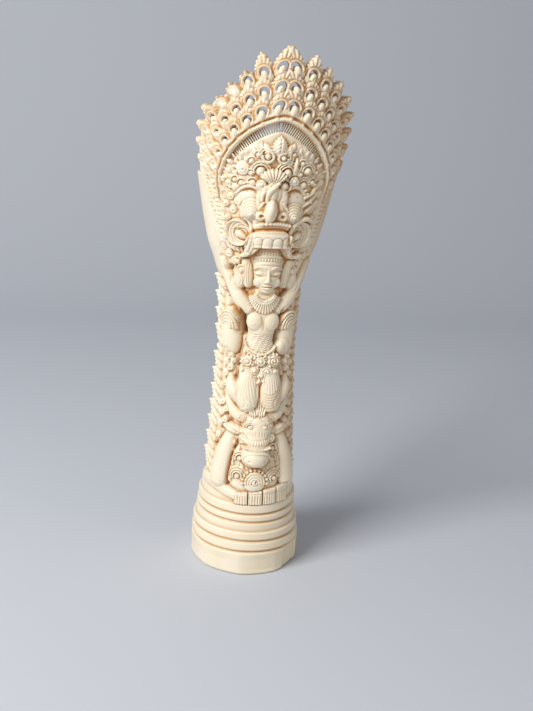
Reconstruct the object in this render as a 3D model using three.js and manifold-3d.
// A goddess carved from one hollow leg bone, standing on a ringed foot, in millimetres.
// +Z is up, the front faces -Y, and the origin is the middle of the foot's underside.
// Places on the bone are given as an angle round it (0 is the front, plus is +X), a height,
// and how far out from the bone's outline they stand.
import * as THREE from "three";
import { mergeVertices } from "three/addons/utils/BufferGeometryUtils.js";
import Module from "manifold-3d";

const wasm = await Module();
wasm.setup();

// The bone's outline: at each height its half width, its depth to the front and to the back.
const HEIGHTS = [0, 14, 30, 46, 75, 110, 145, 157, 170, 185, 215, 240, 262];
const HALF_WIDTHS = [28.2, 28.2, 26.2, 24.5, 22.5, 21, 21.8, 24, 27.7, 30.9, 36.2, 38.8, 39.8];
const FRONT_DEPTHS = [31, 30.5, 28, 25.5, 22, 19.5, 20, 21.5, 24, 27, 33, 36, 38];
const BACK_DEPTHS = [28, 27.5, 25.5, 23.5, 20.5, 18.5, 19, 20.5, 22, 24, 28, 30, 31];
// The upper end leans a little to +X.
const LEANS = [0, 0, 0, 0, 0, 0, 0.1, 0.3, 0.5, 0.7, 0.9, 1, 1];

const ROUND = 32; // corners round the bone
const FOOT_ROUND = 28; // corners round the foot
const CARVING_TRIANGLES = 5100; // the joined carving is thinned out to this many
const MOST_TRIANGLES = 9900; // and the whole figure, once cut, to this many
const FOOT_TOP = 44; // where the plain foot ends and the carving starts
const MARROW_FLOOR = 30; // the solid end of the bone under the hollow
const SAW_CUT_LOW = 150; // where the slanting cut leaves the back
const SAW_CUT_RISE = 2.7; // height gained for each millimetre towards the front

const ARCH_HALF = 30; // half span of the arch round the crown, along the bone
const ARCH_RISE = 29;
const ARCH_CLOSING = 0.45; // share by which the rows of leaves draw together down the sides
const SHEET_CLOSING = 0.15; // and the edge of the sheet behind them
const ARCH_FOOT = 199; // height the arch springs from
const ARCH_SHAPE = 1.5; // 2 would be an ellipse, less is more pointed
const ARC_MM = 0.64; // millimetres along the bone for each degree at the crest
const SLIT_COUNT = 56;
const SLIT_PITCH = 1.22;
const LEAF_ROWS = [
  { away: 5.5, first: 3.4, pitch: 6.9, count: 8, top: 2.0, base: -1.4 },
  { away: 13.6, first: 3.2, pitch: 7.0, count: 9, top: 1.4, base: -1.4 },
  { away: 22.0, first: 3.0, pitch: 7.8, count: 9, top: 0.8, base: -3.0 },
];
const LEAF_LEAN = 1.3; // degrees that a leaf leans for each millimetre from the middle
const BROKEN_LEAVES = [2, 3, 4]; // of the top row on the left, counted from the middle

// A smooth curve through one of the lists above.
function along(z, values) {
  const last = HEIGHTS.length - 1;
  const at_z = Math.min(Math.max(z, HEIGHTS[0]), HEIGHTS[last]);
  let i = 0;
  while (i < last - 1 && at_z > HEIGHTS[i + 1]) i += 1;
  const slope = (j) => {
    const a = Math.max(j - 1, 0);
    const b = Math.min(j + 1, last);
    return (values[b] - values[a]) / (HEIGHTS[b] - HEIGHTS[a]);
  };
  const span = HEIGHTS[i + 1] - HEIGHTS[i];
  const t = (at_z - HEIGHTS[i]) / span;
  const start = (2 * t ** 3 - 3 * t ** 2 + 1) * values[i] + (t ** 3 - 2 * t ** 2 + t) * span * slope(i);
  const end = (3 * t ** 2 - 2 * t ** 3) * values[i + 1] + (t ** 3 - t ** 2) * span * slope(i + 1);
  return start + end;
}

// The carver set each figure a degree or two off the middle. While one is made, this is its turn.
let figure_turn = 0;

// The point at an angle, a height and a distance out from the outline.
function at(theta, z, out) {
  const turn = THREE.MathUtils.degToRad(theta + figure_turn);
  const depth = along(z, Math.abs(theta) <= 90 ? FRONT_DEPTHS : BACK_DEPTHS);
  const x = along(z, LEANS) + (along(z, HALF_WIDTHS) + out) * Math.sin(turn);
  return [x, -(depth + out) * Math.cos(turn), z];
}

// The point some millimetres sideways and up from an angle and a height.
function beside(theta, z, sideways, up, out) {
  const turn = THREE.MathUtils.degToRad(theta);
  const a = along(z, HALF_WIDTHS) * Math.cos(turn);
  const b = along(z, FRONT_DEPTHS) * Math.sin(turn);
  const mm_per_degree = (Math.hypot(a, b) * Math.PI) / 180;
  return at(theta + sideways / mm_per_degree, z + up, out);
}

// One closed solid from corners and triangles, turned to face out.
function solid(corners, triangles) {
  const shape = new THREE.BufferGeometry();
  shape.setAttribute("position", new THREE.Float32BufferAttribute(corners.flat(), 3));
  shape.setIndex(triangles.flat());
  const merged = mergeVertices(shape, 1e-4);
  const p = merged.attributes.position.array;
  const index = [];
  const found = merged.index.array;
  for (let i = 0; i < found.length; i += 3) {
    const [a, b, c] = [found[i], found[i + 1], found[i + 2]];
    if (a !== b && b !== c && a !== c) index.push(a, b, c);
  }
  let volume = 0;
  const v = (i) => new THREE.Vector3(p[3 * i], p[3 * i + 1], p[3 * i + 2]);
  for (let i = 0; i < index.length; i += 3) {
    volume += v(index[i]).dot(v(index[i + 1]).cross(v(index[i + 2])));
  }
  if (volume < 0) {
    for (let i = 0; i < index.length; i += 3) {
      [index[i], index[i + 1]] = [index[i + 1], index[i]];
    }
  }
  return new wasm.Manifold(
    new wasm.Mesh({ numProp: 3, vertProperties: p, triVerts: new Uint32Array(index) }),
  );
}

// A skin over closed rings of equally many corners, with a flat end on the first and last.
function skin(rings) {
  const count = rings[0].length;
  const corners = rings.flat();
  const triangles = [];
  for (let k = 0; k + 1 < rings.length; k += 1) {
    for (let i = 0; i < count; i += 1) {
      const j = (i + 1) % count;
      const [a, b] = [k * count + i, k * count + j];
      triangles.push([a, b, b + count], [a, b + count, a + count]);
    }
  }
  const end = (rings.length - 1) * count;
  for (let i = 1; i + 1 < count; i += 1) {
    triangles.push([0, i + 1, i], [end, end + i, end + i + 1]);
  }
  return solid(corners, triangles);
}

function ring(count, place) {
  return Array.from({ length: count }, (_, i) => place((i / count) * 360 - 180));
}

// A swelling form lying on the bone. Each level is [along it, half width, height].
// Spin leans its top towards +X, in degrees.
function pod(theta, z, base, spin, levels, sides = 6, sink = 2) {
  const lean = THREE.MathUtils.degToRad(spin);
  return skin(
    levels.map(([length, half, high]) =>
      Array.from({ length: sides + 1 }, (_, i) => {
        const phi = (i / sides - 0.5) * Math.PI;
        const s = half * Math.sin(phi);
        const edge = i === 0 || i === sides;
        const out = edge ? base - sink : base + high * Math.cos(phi);
        const sideways = s * Math.cos(lean) + length * Math.sin(lean);
        const up = length * Math.cos(lean) - s * Math.sin(lean);
        return beside(theta, z, sideways, up, out);
      }),
    ),
  );
}

// A rounded button.
function dome(theta, z, base, half_wide, half_high, high, sides = 8, sink = 2, spin = 0) {
  const lean = THREE.MathUtils.degToRad(spin);
  const levels = [
    [1, -sink],
    [0.86, high * 0.5],
    [0.45, high],
  ];
  return skin(
    levels.map(([share, out]) =>
      Array.from({ length: sides }, (_, i) => {
        const phi = ((i + 0.5) / sides) * 2 * Math.PI;
        const s = half_wide * share * Math.cos(phi);
        const t = half_high * share * Math.sin(phi);
        const sideways = s * Math.cos(lean) + t * Math.sin(lean);
        return beside(theta, z, sideways, t * Math.cos(lean) - s * Math.sin(lean), base + out);
      }),
    ),
  );
}

// A raised line over places given as [angle, height, top, half width].
function ridge(path, sink = 2.5) {
  const places = path.map(([theta, z, top]) => new THREE.Vector3(...at(theta, z, top)));
  return skin(
    path.map(([theta, z, top, half], i) => {
      const before = places[Math.max(i - 1, 0)];
      const after = places[Math.min(i + 1, places.length - 1)];
      const ahead = after.clone().sub(before).normalize();
      const outward = new THREE.Vector3(...at(theta, z, top + 1)).sub(places[i]).normalize();
      const side = ahead.clone().cross(outward).normalize();
      const spot = (s, out) => {
        const p = places[i].clone().addScaledVector(side, s).addScaledVector(outward, out);
        return [p.x, p.y, p.z];
      };
      return [spot(-half, -sink), spot(-half * 0.6, 0), spot(half * 0.6, 0), spot(half, -sink)];
    }),
  );
}

// A rounded bar through places given as [angle, height, out, radius].
function bar(path, sides = 6) {
  const places = path.map(([theta, z, out]) => new THREE.Vector3(...at(theta, z, out)));
  const middle = path[Math.floor(path.length / 2)];
  const outward = new THREE.Vector3(...at(middle[0], middle[1], 10))
    .sub(new THREE.Vector3(...at(middle[0], middle[1], 0)))
    .normalize();
  return skin(
    path.map(([, , , radius], i) => {
      const before = places[Math.max(i - 1, 0)];
      const after = places[Math.min(i + 1, places.length - 1)];
      const ahead = after.clone().sub(before).normalize();
      const side = ahead.clone().cross(outward).normalize();
      const front = side.clone().cross(ahead).normalize();
      return Array.from({ length: sides }, (_, k) => {
        const phi = (k / sides) * 2 * Math.PI;
        const p = places[i]
          .clone()
          .addScaledVector(side, radius * Math.cos(phi))
          .addScaledVector(front, radius * Math.sin(phi));
        return [p.x, p.y, p.z];
      });
    }),
  );
}

// A flat outline with openings, bent on to the bone by place(x, y, out).
function plate(outline, openings, low, high, place) {
  const flat = new THREE.Shape(outline.map(([x, y]) => new THREE.Vector2(x, y)));
  for (const hole of openings) {
    flat.holes.push(new THREE.Path(hole.map(([x, y]) => new THREE.Vector2(x, y))));
  }
  const block = new THREE.ExtrudeGeometry(flat, { depth: high - low, bevelEnabled: false });
  block.deleteAttribute("normal");
  block.deleteAttribute("uv");
  const p = block.attributes.position;
  const corners = [];
  for (let i = 0; i < p.count; i += 1) corners.push(place(p.getX(i), p.getY(i), p.getZ(i) + low));
  const triangles = [];
  for (let i = 0; i < p.count; i += 3) triangles.push([i, i + 1, i + 2]);
  return solid(corners, triangles);
}

// The solids of a figure, set some degrees to the right of the middle.
function turned(degrees, make) {
  figure_turn = degrees;
  const solids = make();
  figure_turn = 0;
  return solids;
}

function joined(solids) {
  let left = solids;
  while (left.length > 1) {
    const next = [];
    for (let i = 0; i < left.length; i += 2) {
      next.push(i + 1 < left.length ? left[i].add(left[i + 1]) : left[i]);
    }
    left = next;
  }
  return left[0];
}

// The joined figure with its flattest and shortest edges drawn together, one corner on to the
// other, until few enough triangles are left. Corners never move, so crisp edges stay crisp.
function thinned(places, corners, most) {
  const points = [];
  for (let i = 0; i < places.length; i += 3) {
    points.push(new THREE.Vector3(places[i], places[i + 1], places[i + 2]));
  }
  const faces = [];
  for (let i = 0; i < corners.length; i += 3) faces.push([...corners.subarray(i, i + 3)]);
  const around = points.map(() => new Set());
  faces.forEach((face, f) => face.forEach((i) => around[i].add(f)));
  const planeOf = (face, moved = -1, to = null) => {
    const [a, b, c] = face.map((i) => (i === moved ? to : points[i]));
    const n = b.clone().sub(a).cross(c.clone().sub(a));
    const area = n.length();
    return { n: n.divideScalar(area || 1), area, a };
  };
  // Each corner keeps the planes it has touched, as the ten sums of a quadric.
  const PAIRS = [0, 1, 2, 3].flatMap((i) => [0, 1, 2, 3].slice(i).map((j) => [i, j]));
  const sums = points.map(() => new Float64Array(10));
  for (const face of faces) {
    const { n, area, a } = planeOf(face);
    if (area < 1e-5) continue;
    const row = [n.x, n.y, n.z, -n.dot(a)];
    const weight = Math.min(1, 0.2 + area);
    PAIRS.forEach(([i, j], k) => {
      for (const corner of face) sums[corner][k] += row[i] * row[j] * weight;
    });
  }
  const miss = (q, v) => {
    const r = [v.x, v.y, v.z, 1];
    let total = 0;
    PAIRS.forEach(([i, j], k) => {
      total += (i === j ? 1 : 2) * q[k] * r[i] * r[j];
    });
    return Math.max(total, 0);
  };
  const stamp = new Int32Array(points.length);
  const heap = [];
  const push = (entry) => {
    let i = heap.push(entry) - 1;
    while (i > 0) {
      const up = (i - 1) >> 1;
      if (heap[up].cost <= heap[i].cost) break;
      [heap[up], heap[i]] = [heap[i], heap[up]];
      i = up;
    }
  };
  const pop = () => {
    const top = heap[0];
    const last = heap.pop();
    if (!heap.length) return top;
    heap[0] = last;
    let i = 0;
    for (;;) {
      let low = i;
      for (const down of [2 * i + 1, 2 * i + 2]) {
        if (down < heap.length && heap[down].cost < heap[low].cost) low = down;
      }
      if (low === i) return top;
      [heap[low], heap[i]] = [heap[i], heap[low]];
      i = low;
    }
  };
  const offer = (a, b) => {
    for (const [gone, kept] of [
      [a, b],
      [b, a],
    ]) {
      const q = sums[gone].map((v, i) => v + sums[kept][i]);
      const cost = miss(q, points[kept]) + 1e-4 * points[a].distanceToSquared(points[b]);
      push({ cost, gone, kept, mark: stamp[gone] + stamp[kept] });
    }
  };
  const near = (i) => {
    const found = new Set();
    for (const f of around[i]) for (const j of faces[f]) if (j !== i) found.add(j);
    return found;
  };
  around.forEach((list, i) => {
    if (list.size) for (const j of near(i)) if (j > i) offer(i, j);
  });
  let left = faces.length;
  while (left > most && heap.length > 1) {
    const { gone, kept, mark } = pop();
    if (!around[gone].size || !around[kept].size || stamp[gone] + stamp[kept] !== mark) continue;
    const near_gone = near(gone);
    const near_kept = near(kept);
    if (!near_gone.has(kept)) continue;
    if ([...near_gone].filter((i) => near_kept.has(i)).length !== 2) continue;
    const moving = [...around[gone]].filter((f) => !faces[f].includes(kept));
    const turned = moving.some((f) => {
      const before = planeOf(faces[f]);
      const after = planeOf(faces[f], gone, points[kept]);
      return after.area < 1e-3 || (before.area > 1e-4 && before.n.dot(after.n) < 0.35);
    });
    if (turned) continue;
    for (const f of [...around[gone]].filter((g) => faces[g].includes(kept))) {
      for (const i of faces[f]) around[i].delete(f);
      faces[f] = null;
      left -= 1;
    }
    for (const f of moving) {
      faces[f] = faces[f].map((i) => (i === gone ? kept : i));
      around[kept].add(f);
    }
    around[gone].clear();
    sums[kept] = sums[kept].map((v, i) => v + sums[gone][i]);
    stamp[kept] += 1;
    for (const j of near(kept)) offer(kept, j);
  }
  return faces.filter((face) => face).flat();
}

// The same thing on the left (-1) and on the right (1).
function both(make) {
  return [-1, 1].flatMap((side) => make(side));
}

// The curve that runs outside the arch at a given distance, from its top down one side.
function archCurve(away, closing = ARCH_CLOSING) {
  const points = [];
  for (let i = 0; i <= 120; i += 1) {
    const t = (i / 120) * (Math.PI / 2);
    const u = ARCH_HALF * Math.sin(t) ** (2 / ARCH_SHAPE);
    const h = ARCH_RISE * Math.cos(t) ** (2 / ARCH_SHAPE);
    const nu = (u / ARCH_HALF) ** (ARCH_SHAPE - 1) / ARCH_HALF;
    const nh = (h / ARCH_RISE) ** (ARCH_SHAPE - 1) / ARCH_RISE;
    const n = Math.hypot(nu, nh);
    const far = away * (1 - closing * (nu / n) ** 2);
    points.push([u + (far * nu) / n, ARCH_FOOT + h + (far * nh) / n]);
  }
  points.push([points[120][0], ARCH_FOOT - 60]);
  return points;
}

// The crest was set out a little to the right of the arch's feet.
function crestAside(z) {
  return Math.min(Math.max((z - 222) * 0.13, 0), 1.7);
}

function crestAt(u, z, out) {
  return at((u + crestAside(z)) / ARC_MM, z, out);
}

// The place a distance along that curve, with its direction.
function walk(away, distance) {
  const points = archCurve(away);
  let left = Math.abs(distance);
  for (let i = 1; i < points.length; i += 1) {
    const [u0, z0] = points[i - 1];
    const [u1, z1] = points[i];
    const step = Math.hypot(u1 - u0, z1 - z0);
    if (left <= step) {
      const share = left / step;
      const side = distance < 0 ? -1 : 1;
      return {
        u: side * (u0 + (u1 - u0) * share),
        z: z0 + (z1 - z0) * share,
        du: (side * (u1 - u0)) / step,
        dz: (z1 - z0) / step,
      };
    }
    left -= step;
  }
  return null;
}

// Where the sheet behind the leaves ends.
function crestTop(theta) {
  const u = Math.abs(theta) * ARC_MM;
  const points = archCurve(LEAF_ROWS[2].away + 0.8, SHEET_CLOSING);
  for (let i = 1; i < points.length; i += 1) {
    if (points[i][0] >= u) {
      const [u0, z0] = points[i - 1];
      const [u1, z1] = points[i];
      return Math.max(z0 + ((z1 - z0) * (u - u0)) / (u1 - u0 || 1), 200);
    }
  }
  return 200;
}

// The foot, turned with rings and grooves.
function foot() {
  const profile = [
    [0, -1.2],
    [1.4, 0],
    [11.5, 0],
    [12.6, -1.3],
    [13.7, 0],
    [17.2, 0],
    [18.2, -1.3],
    [19.3, 0],
    [22.8, 0.3],
    [23.5, -0.9],
    [26.8, -0.4],
    [27.8, -1.6],
    [28.8, -0.4],
    [31, -0.3],
    [32, -1.5],
    [33, -0.3],
    [36.8, -0.2],
    [37.4, -1.4],
    [FOOT_TOP, -1.2],
    [FOOT_TOP + 1, -4.2],
  ];
  return skin(profile.map(([z, out]) => ring(FOOT_ROUND, (t) => at(t, z, out))));
}

// The waisted shaft and the sheet that flares from it to the crest, still solid.
function shaft() {
  const profile = [
    [FOOT_TOP - 6, -4.6],
    [60, -4.4],
    [76, -4.2],
    [94, -4.2],
    [112, -4.6],
    [130, -4.6],
    [144, -3.6],
    [154, -1.4],
    [166, -0.2],
    [182, 0],
    [199, 0],
  ];
  // The front is cut back behind the mask and the crown.
  const panel = (t, z) => (z > 160 && z < 200 && Math.abs(t) < 50 ? -2 : 0);
  const rings = profile.map(([z, out]) => ring(ROUND, (t) => at(t, z, out + panel(t, z))));
  for (const share of [0.5, 1]) {
    rings.push(ring(ROUND, (t) => at(t, 199 + share * (crestTop(t) - 199), 0)));
  }
  return skin(rings);
}

// The hollow of the bone, closed at the foot.
function hollow() {
  const wall = [
    [MARROW_FLOOR, -19],
    [MARROW_FLOOR + 3, -14],
    [60, -12.5],
    [112, -11.5],
    [144, -9.8],
    [160, -7.2],
    [185, -5],
    [215, -3.9],
    [270, -3.6],
  ];
  return skin(wall.map(([z, out]) => ring(20, (t) => at(t, z, out))));
}

// What the slanting cut takes away behind the mask and the crest.
function sawn() {
  const back = along(SAW_CUT_LOW, BACK_DEPTHS) + 2;
  const corner = (x, y, up) => [x, y, SAW_CUT_LOW + (back - y) * SAW_CUT_RISE + up];
  return skin(
    [-60, 60].map((x) => [corner(x, back + 30, 0), corner(x, -40, 0), corner(x, back + 30, 400)]),
  );
}

// The leaves of the crest, each with the crescent opening over its bud.
function crest() {
  const leaves = [];
  const openings = [];
  const half_leaf = [
    [0, -6.6],
    [2.7, -4.2],
    [3.7, -0.4],
    [3.3, 2.7],
    [1.9, 5.4],
  ];
  const stub = [
    [-2.6, -5.5],
    [2.6, -5.5],
    [3.2, 1],
    [2.4, 4.2],
    [0.6, 3],
    [-1.4, 4.8],
    [-3.2, 2],
  ];
  const crescent = [
    [-2, -0.1],
    [-1.3, 1.9],
    [0, 2.5],
    [1.3, 1.9],
    [2, -0.1],
    [0, 1],
  ];
  for (const [number, row] of LEAF_ROWS.entries()) {
    for (const side of [-1, 1]) {
      for (let k = 0; k < row.count; k += 1) {
        const spot = walk(row.away, side * (row.first + k * row.pitch));
        const size = 1 - 0.035 * k;
        const turn = Math.min(Math.max(spot.u * LEAF_LEAN, -70), 70);
        const lean = THREE.MathUtils.degToRad(turn);
        const inward = k === 0 ? -side * 2.4 : 0;
        const most = number === 2 ? Math.max((spot.z - 196) * 0.013, 0.08) : 0;
        const flare = Math.min(Math.max((Math.abs(spot.u) - 18) * 0.03, 0), most);
        const place = (x, y, out) => {
          const grown = x + (y > 0 ? (inward * y) / 8 : 0);
          const lifted = out + Math.max(y, 0) * flare;
          const u = (grown * Math.cos(lean) + y * Math.sin(lean)) * size;
          const v = (y * Math.cos(lean) - grown * Math.sin(lean)) * size;
          return crestAt(spot.u + u, spot.z + v, lifted);
        };
        const broken = number === 2 && side < 0 && BROKEN_LEAVES.includes(k);
        const tip = [0, number === 2 ? 9.6 : 7.6];
        const mirrored = half_leaf.slice(1).reverse();
        const outline = [...half_leaf, tip, ...mirrored.map(([x, y]) => [-x, y])];
        leaves.push(plate(broken ? stub : outline, [], row.base, row.top, place));
        const opening = 1.1 - 0.075 * k;
        const shrunk = crescent.map(([x, y]) => [x * opening, 0.6 + (y - 0.6) * opening]);
        if (!broken && k < 7) openings.push(plate(shrunk, [], -8, 6, place));
      }
    }
  }
  return { leaves, openings };
}

// The raised rim of the arch, and the comb of slits cut right through inside it.
function arch() {
  const rim = [];
  for (let s = -62; s <= 62; s += 5.64) {
    const spot = walk(0.2, s);
    rim.push([(spot.u + crestAside(spot.z)) / ARC_MM, spot.z, 1.7, 1.3]);
  }
  const slits = [];
  for (let i = 0; i < SLIT_COUNT; i += 1) {
    const spot = walk(-1.5, (i - (SLIT_COUNT - 1) / 2) * SLIT_PITCH);
    const inward = [spot.dz, -spot.du].map((v) => v * (spot.u < 0 ? -1 : 1));
    const down = spot.u < 0 ? [-inward[0], -inward[1]] : inward;
    const flip = down[1] > 0 ? -1 : 1;
    const long = 3.6;
    const place = (x, y, out) => {
      const u = spot.u + x * spot.du + y * down[0] * flip;
      const z = spot.z + x * spot.dz + y * down[1] * flip;
      return crestAt(u, z, out);
    };
    const box = [
      [-0.28, 0],
      [0.28, 0],
      [0.28, long],
      [-0.28, long],
    ];
    slits.push(plate(box, [], -7, 4, place));
  }
  return { rim: ridge(rim, 3), slits };
}

// The mask whose upper jaw covers the goddess's head.
function mask() {
  const parts = [
    // jaw and lip over the brow
    ridge(
      [
        [-32, 163, 2.2, 1.6],
        [-25, 165.5, 3.2, 2.2],
        [-19, 170, 4.6, 3],
        [-10, 173, 6, 3.5],
        [0, 173.4, 6.6, 3.6],
        [10, 173, 6, 3.5],
        [19, 170, 4.6, 3],
        [25, 165.5, 3.4, 2.2],
        [31, 164.2, 3.2, 1.8],
      ],
      7,
    ),
    // the lip's rim
    ridge(
      [
        [-20, 173, 4.8, 0.8],
        [-12, 176.6, 6.2, 0.9],
        [0, 177.2, 7.2, 0.9],
        [12, 176.6, 6.2, 0.9],
        [20, 173, 4.8, 0.8],
      ],
      7,
    ),
    // upper lip under the nose
    pod(0, 179.5, -1, 90, [
      [-11, 2.2, 3],
      [-7, 3, 5.6],
      [0, 3.4, 7],
      [7, 3, 5.6],
      [11, 2.2, 3],
    ]),
    // nose, from the bulb up between the brows
    pod(
      0,
      186,
      -1,
      0,
      [
        [-5.2, 1.6, 6],
        [-3.4, 2.6, 9],
        [0, 2.9, 10.4],
        [3.4, 2.7, 9.4],
        [6, 2.6, 7.4],
        [10, 2.2, 6],
        [14, 1, 3.6],
      ],
      8,
    ),
    pod(30, 165.6, 1, 35, [
      [-2, 1, 1],
      [-0.6, 2, 2.6],
      [1.2, 2, 2.6],
      [2.6, 1, 1],
    ]),
  ];
  for (const theta of [-12.5, -4.2, 4.2, 12.5]) {
    const deep = 6.4 - Math.abs(theta) * 0.07;
    parts.push(
      pod(theta, 172, 0, 0, [
        [-3.4, 1.5, deep + 0.6],
        [1, 1.6, deep + 1.3],
        [2.8, 0.9, deep + 0.6],
      ], 4),
    );
  }
  const pairs = both((side) => [
    // nostril
    dome(side * 7.4, 183.8, 3, 2.3, 2.6, 3.4, 8, 4),
    // staring eye on a swollen lid
    dome(side * 18, 187, 0, 6.6, 6.6, 2.6, 10, 3),
    dome(side * 17.2, 185.2, 1.6, 3.8, 4, 4.2, 8, 3),
    // brow
    ridge(
      [
        [side * 7.5, 192, 4, 0.9],
        [side * 12, 195.6, 3.6, 1.1],
        [side * 18, 197.2, 3, 1.1],
        [side * 24, 195.8, 2.4, 1],
        [side * 28, 191.5, 1.8, 0.8],
      ],
      4,
    ),
    // cheek down to the ear
    pod(side * 20, 178.6, -1, side * 20, [
      [-3.5, 2.4, 2],
      [0, 3, 3],
      [4, 2, 2],
    ]),
    // rim of the ear
    ridge(
      Array.from({ length: 11 }, (_, i) => {
        const turn = ((side < 0 ? i : -i) / 10) * 5.2 + (side < 0 ? -0.3 : Math.PI + 0.3);
        const theta = side * 30.5 + (5.6 * Math.cos(turn)) / 0.48;
        return [theta, 174 + 7 * Math.sin(turn), 1.9, 1];
      }),
      4,
    ),
    // curl in the ear
    pod(side * 29, 173.6, -1, side * -28, [
      [-4.6, 1, 1.2],
      [-1.6, 2.8, 2.4],
      [2, 2.2, 2.2],
      [5, 0.6, 1],
    ]),
  ]);
  // flared point of the ear
  const points = both((side) => [
    pod(side * 32, 182, -0.6, side * 74, [
      [-3, 1.4, 1.8],
      [1, 1.6, 2.4],
      [4.6, 0.5, 1.4],
    ], 4),
  ]);
  return [...parts, ...pairs, ...points];
}

// Scrolls, buds and leaves piled up between the mask and the arch.
function crown() {
  const parts = [
    pod(0, 213, -1, 0, [
      [-6, 5, 2.6],
      [-2, 4.6, 3.6],
      [3, 2.4, 3],
      [8, 0.4, 1.4],
    ]),
    // fan over the nose
    pod(0, 199.5, -0.6, 0, [
      [-2, 2.4, 5],
      [2, 6, 4.4],
      [5, 5.2, 3],
      [6.6, 2, 1.6],
    ], 8),
  ];
  const pairs = both((side) => [
    dome(side * 6.4, 210.6, 0.4, 2.8, 3, 3.2, 8, 2),
    dome(side * 11.6, 204.4, 0, 2.9, 3.2, 3.2, 8, 2),
    dome(side * 8.4, 198, 1.6, 2.3, 2.2, 3, 8, 3),
    dome(side * 16.5, 199.4, 0.4, 2.1, 1.9, 2.4, 6, 2),
    dome(side * 24.5, 198.4, 0.2, 2.3, 2.2, 2.4, 6, 2),
    pod(side * 15, 212, -0.8, side * 22, [
      [-4, 1.6, 1.8],
      [0, 2.2, 2.6],
      [4.4, 0.4, 1.4],
    ], 4),
    dome(side * 25, 205.4, -0.2, 3.9, 3.8, 2.6, 8, 2),
    pod(side * 26, 212, -0.8, side * 30, [
      [-3.4, 2.2, 1.6],
      [1, 2, 2.2],
      [4.4, 0.4, 1.2],
    ], 4),
    dome(side * 36, 197.6, -0.2, 3, 2.8, 2.4, 6, 2),
    pod(side * 36, 203, -0.8, side * 40, [
      [-3.4, 1.6, 1.4],
      [0.6, 2, 2],
      [4, 0.4, 1.2],
    ], 4),
    pod(side * 38, 193.6, -1, side * 66, [
      [-4, 1.4, 1.4],
      [1, 1.8, 2],
      [5, 0.4, 1],
    ], 4),
    pod(side * 38, 188, -1.2, side * 70, [
      [-4.6, 1.2, 1.4],
      [1, 1.6, 1.8],
      [5.4, 0.4, 1],
    ], 4),
  ]);
  return [...parts, ...pairs];
}

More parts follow.
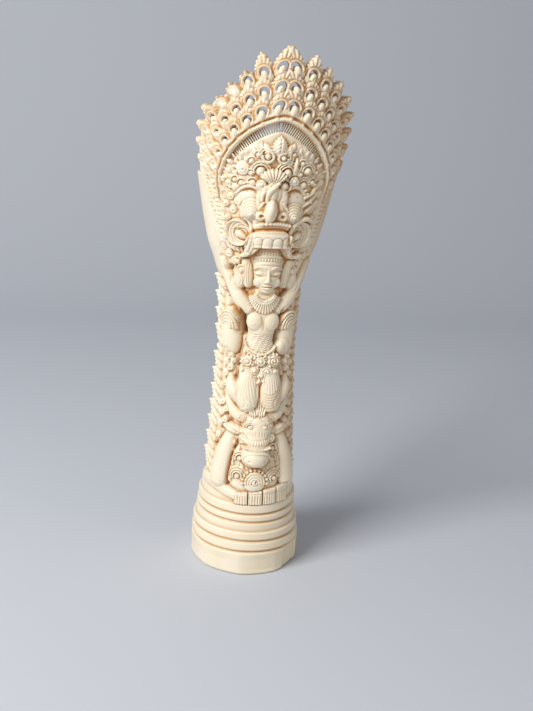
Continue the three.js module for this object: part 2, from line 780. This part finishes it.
// The kneeling goddess, her hands up at the mask's ears.
function goddess() {
  const parts = [
    // body from the hips to the neck
    skin(
      [
        [100, 9.5, -2.2],
        [108, 10.2, 0.4],
        [114, 8.8, 0.6],
        [120, 7.4, 0],
        [127, 8, 0.4],
        [134, 9.4, 0.2],
        [139, 12, -0.6],
        [142, 7, -1.4],
        [147, 4.4, -1.4],
      ].map(([z, half, front]) =>
        ring(12, (t) => {
          const turn = THREE.MathUtils.degToRad(t);
          const [middle_x, middle_y] = at(0, z, front);
          return [middle_x + half * Math.sin(turn), middle_y + 6 - 6 * Math.cos(turn), z];
        }),
      ),
    ),
    // face
    pod(
      0,
      153,
      -4.6,
      0,
      [
        [-8.6, 2, 4.2],
        [-7, 4.4, 6.2],
        [-3, 6.8, 7],
        [2, 7.7, 7],
        [8, 7.8, 6.6],
        [13.5, 7.2, 7],
        [17, 6.4, 7.4],
      ],
      8,
    ),
    pod(0, 153.4, 1, 0, [
      [-2.8, 1.5, 2.9],
      [-1.2, 1.1, 2.9],
      [4, 0.7, 1.9],
    ], 4),
    pod(0, 149, 1, 90, [
      [-2.4, 0.5, 0.9],
      [0, 0.9, 1.6],
      [2.4, 0.5, 0.9],
    ], 4),
    // band over the brow
    ridge(
      [
        [-19, 161, 1, 1.2],
        [-11, 162.6, 2.2, 1.2],
        [0, 163.4, 2.8, 1.2],
        [11, 162.6, 2.2, 1.2],
        [19, 161, 1, 1.2],
      ],
      5,
    ),
    // fringed collar
    ridge(
      Array.from({ length: 9 }, (_, i) => {
        const turn = (i / 8) * Math.PI;
        return [-20 * Math.cos(turn), 144 - 6.8 * Math.sin(turn), 0.9 - 0.9 * Math.cos(turn) ** 2, 2.3];
      }),
      4,
    ),
    // belt, hanging low at the front
    ridge(
      Array.from({ length: 7 }, (_, i) => {
        const theta = -29 + (i * 58) / 6;
        return [theta * 0.84, 114.4 + 4.6 * (theta / 29) ** 2, 1.2, 0.9];
      }),
      4,
    ),
    // sash between the knees
    pod(0, 99, -2, 0, [
      [-7, 1.6, 3.4],
      [0, 2.2, 3.8],
      [6, 2.6, 3.6],
    ], 4),
    // rosettes of the girdle
    dome(-16, 110.6, 0.4, 3.2, 3.4, 1.8, 8, 3),
    dome(0.6, 111, 0.6, 2.4, 2.4, 1.8, 8, 3),
    dome(18, 111, 0.4, 3.2, 3.4, 1.8, 8, 3),
    dome(-6.5, 106.4, 0.6, 2, 1.9, 1.8, 6, 3),
    dome(10, 105.6, 0.6, 2.7, 2.6, 1.8, 6, 3),
    dome(1, 102.4, 0.8, 1.7, 2, 1.6, 6, 3),
  ];
  const pairs = both((side) => [
    // closed eyelid
    pod(side * 8.2, 155.6, 0.6, 90, [
      [-2.5, 0.5, 0.8],
      [0, 1.1, 1.5],
      [2.5, 0.5, 0.8],
    ], 4),
    dome(side * 10.8, 130.4, -0.8, 4.4, 4.6, 1.5, 8, 3),
    // hair falling beside the face, and the leaf over the ear
    pod(side * 25.5, 154, -3.4, 0, [
      [-8.4, 3.6, 2.8],
      [-6, 4, 3.6],
      [4, 3.6, 3.4],
      [9.6, 3, 2.6],
    ], 4),
    pod(side * 38, 151.5, -3, side * -4, [
      [-6.6, 1.2, 1.8],
      [-2, 3.2, 3.2],
      [3.4, 2.8, 3],
      [8.4, 0.8, 1.6],
    ], 4),
    // raised arm and its hand
    bar([
      [side * 25, 138, -3.4, 3.6],
      [side * 35, 141, -2.4, 3.8],
      [side * 46, 147, -1.8, 3.4],
      [side * 55, 154.5, -1.6, 2.9],
      [side * 58, 160, -1.4, 2.2],
    ]),
    // second arm, bent at the waist, its fingers fanned over it
    pod(
      side < 0 ? -47 : 40,
      123.8,
      -3.4,
      side * 6,
      [
        [-13, 1.6, 1.4],
        [-10.6, 4.2, 3],
        [-5, 5.8, 4],
        [3, 5.6, 3.6],
        [9, 4.4, 3],
        [13, 2.6, 2],
      ],
      6,
    ),
    ...[0, 1, 2].map((k) =>
      ridge(
        [
          [side * (49 - k * 3.8), 127.5 + k * 0.6, 0.4, 0.7],
          [side * (48 - k * 4.2), 132.5 + k, 0.8, 0.8],
          [side * (42 - k * 4), 137 + k, 0.2, 0.7],
        ],
        2.4,
      ),
    ),
    // thigh and knee under the pleated skirt
    pod(
      side * 15.5,
      98.5,
      -4,
      side < 0 ? -7 : -3,
      [
        [-14.4, 2.8, 3.6],
        [-12.4, 5, 6.8],
        [-6.6, 6.7, 8.2],
        [1, 6.6, 7.6],
        [8, 5.8, 5.8],
        [13, 5, 4],
      ],
      8,
    ),
    // shin folded back beside it
    bar([
      [side * 25, 90.5, -2.8, 3],
      [side * 35, 94.5, -2.4, 3.7],
      [side * 45, 100.5, -3, 3.2],
    ]),
  ]);
  return [...parts, ...pairs];
}

// The bull that carries her: head, horns, ears, halter and front legs.
function bull() {
  const parts = [
    pod(
      1,
      72.4,
      -5,
      4,
      [
        [-15, 4.6, 8],
        [-13, 7, 10.8],
        [-9.6, 8, 12.2],
        [-5, 7.4, 11],
        [0, 8.2, 9.4],
        [6, 9.8, 8],
        [10, 9.8, 6.6],
        [13, 8, 4],
      ],
      8,
    ),
    // halter over the nose
    ridge(
      Array.from({ length: 7 }, (_, i) => {
        const turn = -1 + i / 3;
        return [turn * 20, 70.4 + 1.2 * turn ** 2, 4.8 - 4.4 * turn ** 2, 1.5];
      }),
      6,
    ),
    // muzzle pad
    ridge(
      [
        [-14, 62, 3.6, 1.6],
        [-7, 63, 6.8, 2.4],
        [0, 63.2, 7.9, 2.6],
        [7, 63, 6.8, 2.4],
        [14, 62, 3.6, 1.6],
      ],
      6,
    ),
    // scroll between the feet
    dome(0, 49, -1.4, 5.4, 5, 2.4, 10, 3),
    dome(0.5, 48.6, 0.8, 2.2, 2.2, 1.6, 6, 2),
  ];
  const pairs = both((side) => [
    dome(side * 17, 71, -1, 2.3, 2.3, 2.4, 6, 3),
    // eye under its lid
    dome(side * 8, 79, -0.6, 2, 1.6, 2.6, 8, 3),
    // horn, curving out and up round the knees
    bar([
      [side * 12, 81.6, -2.6, 3],
      [side * 24, 81.4, -1.4, 3.1],
      [side * 36, 84.6, -1.2, 2.8],
      [side * 45, 90.6, -1.4, 2],
      [side * 49, 97, -1.8, 0.5],
    ]),
    // ear
    pod(side * 35, 76.5, -3.6, side * 78, [
      [-6, 1.6, 2.4],
      [-1, 2.8, 2.8],
      [3, 2.4, 2.6],
      [7.5, 0.5, 1.6],
    ], 4),
    // front leg down to its hoof
    bar([
      [side * 33, 73, -4, 3.4],
      [side * 41, 63, -2.6, 4.4],
      [side * 44, 53, -2.4, 4.6],
      [side * 44.5, 44, -2.4, 4.6],
    ]),
    // scrolls and leaves filling the panel
    dome(side * 23, 50, -2, 3.4, 4.2, 2.2, 8, 3),
    dome(side * 24, 60, -2.4, 2.8, 3.4, 2, 6, 3),
    pod(side * 13, 55, -2.6, side * -30, [
      [-4, 1.6, 1.4],
      [0, 2.2, 2],
      [4, 0.6, 1],
    ], 4),
  ]);
  return [...parts, ...pairs];
}

// The jagged flame edges down both sides, and the rung-like scales in front of them.
function flames() {
  const pitch = 8.6;
  const edge = (theta, start, teeth, half) => {
    const rings = [];
    for (let k = 0; k < teeth; k += 1) {
      for (const [rise, out] of [
        [0, -1.6],
        [5.4, -0.6],
        [8, 0.3],
      ]) {
        const z = start + k * pitch + rise;
        rings.push([
          at(theta - half, z, -6),
          at(theta, z, out),
          at(theta + half, z, -6),
        ]);
      }
    }
    return skin(rings);
  };
  return both((side) => [
    edge(side * 76, 46, 7, 14),
    edge(side * 76, 117, 4, 14),
    edge(side * 101, 50, 7, 14),
    edge(side * 101, 116, 4, 14),
    ...[0, 1, 2, 3].map((k) =>
      dome(side * 60, 100 + k * 5.4, -3.4, 3.4, 1.7, 1.6, 6, 2),
    ),
    ...[0, 1, 2, 3].map((k) =>
      dome(side * 63, 137 + k * 4.2, -3.2, 3.6, 1.4, 1.6, 6, 2),
    ),
    ...[0, 1, 2, 3].map((k) =>
      dome(side * 59, 52 + k * 9, -3.6, 4, 3.4, 2.6, 6, 2),
    ),
  ]);
}

// Blocks with a pleated skirt on the rim of the foot.
function blocks() {
  return [-15.4, 1.8, 19.4, 36.8].map((theta) => {
    const outline = [
      [-3.6, -3],
      [3.6, -3],
      [3.6, 3.4],
      [-3.6, 3.4],
    ];
    return plate(outline, [], -5, 0.6, (x, y, out) => beside(theta, 40.2, x, y, out));
  });
}

// The gaps cut through to the hollow beside the waist, the skirt and the raised hand.
function gaps() {
  const cut = (theta, z, spin, half_wide, half_high) => {
    const lean = THREE.MathUtils.degToRad(spin);
    const outline = [
      [-half_wide * 0.4, -half_high],
      [half_wide * 0.6, -half_high * 0.8],
      [half_wide, 0],
      [half_wide * 0.4, half_high],
      [-half_wide * 0.7, half_high * 0.7],
      [-half_wide, 0],
    ];
    return plate(outline, [], -17, 5, (x, y, out) =>
      beside(theta, z, x * Math.cos(lean) + y * Math.sin(lean), y * Math.cos(lean) - x * Math.sin(lean), out),
    );
  };
  return [
    cut(-24.8, 129.8, -9, 1, 6.7),
    cut(19.8, 123, 8, 0.9, 3.7),
    cut(-30.6, 103.2, 0, 0.8, 3.6),
    cut(-45, 157, 40, 0.8, 1.9),
  ];
}

const { leaves, openings } = crest();
const { rim, slits } = arch();
const raised = [
  shaft(),
  rim,
  ...leaves,
  ...turned(-2, mask),
  ...turned(-1, crown),
  ...turned(1.5, goddess),
  ...turned(0.5, bull),
  ...flames(),
  ...blocks(),
];
// The solid with that many triangles at most.
function lighter(whole, most) {
  const { vertProperties, triVerts } = whole.getMesh();
  const kept = new Uint32Array(thinned(vertProperties, triVerts, most));
  return new wasm.Manifold(new wasm.Mesh({ numProp: 3, vertProperties, triVerts: kept }));
}

const carving = lighter(joined(raised), CARVING_TRIANGLES);
const taken = [hollow(), sawn(), ...gaps(), ...openings, ...slits];
const carved = lighter(carving.add(foot()).subtract(joined(taken)), MOST_TRIANGLES).getMesh();

const geometry = new THREE.BufferGeometry();
geometry.setAttribute("position", new THREE.BufferAttribute(carved.vertProperties, 3));
geometry.setIndex(new THREE.BufferAttribute(carved.triVerts, 1));
const mesh = new THREE.Mesh(geometry);
mesh.name = "carved_bone_goddess";

const group = new THREE.Group();
group.add(mesh);
export default group;
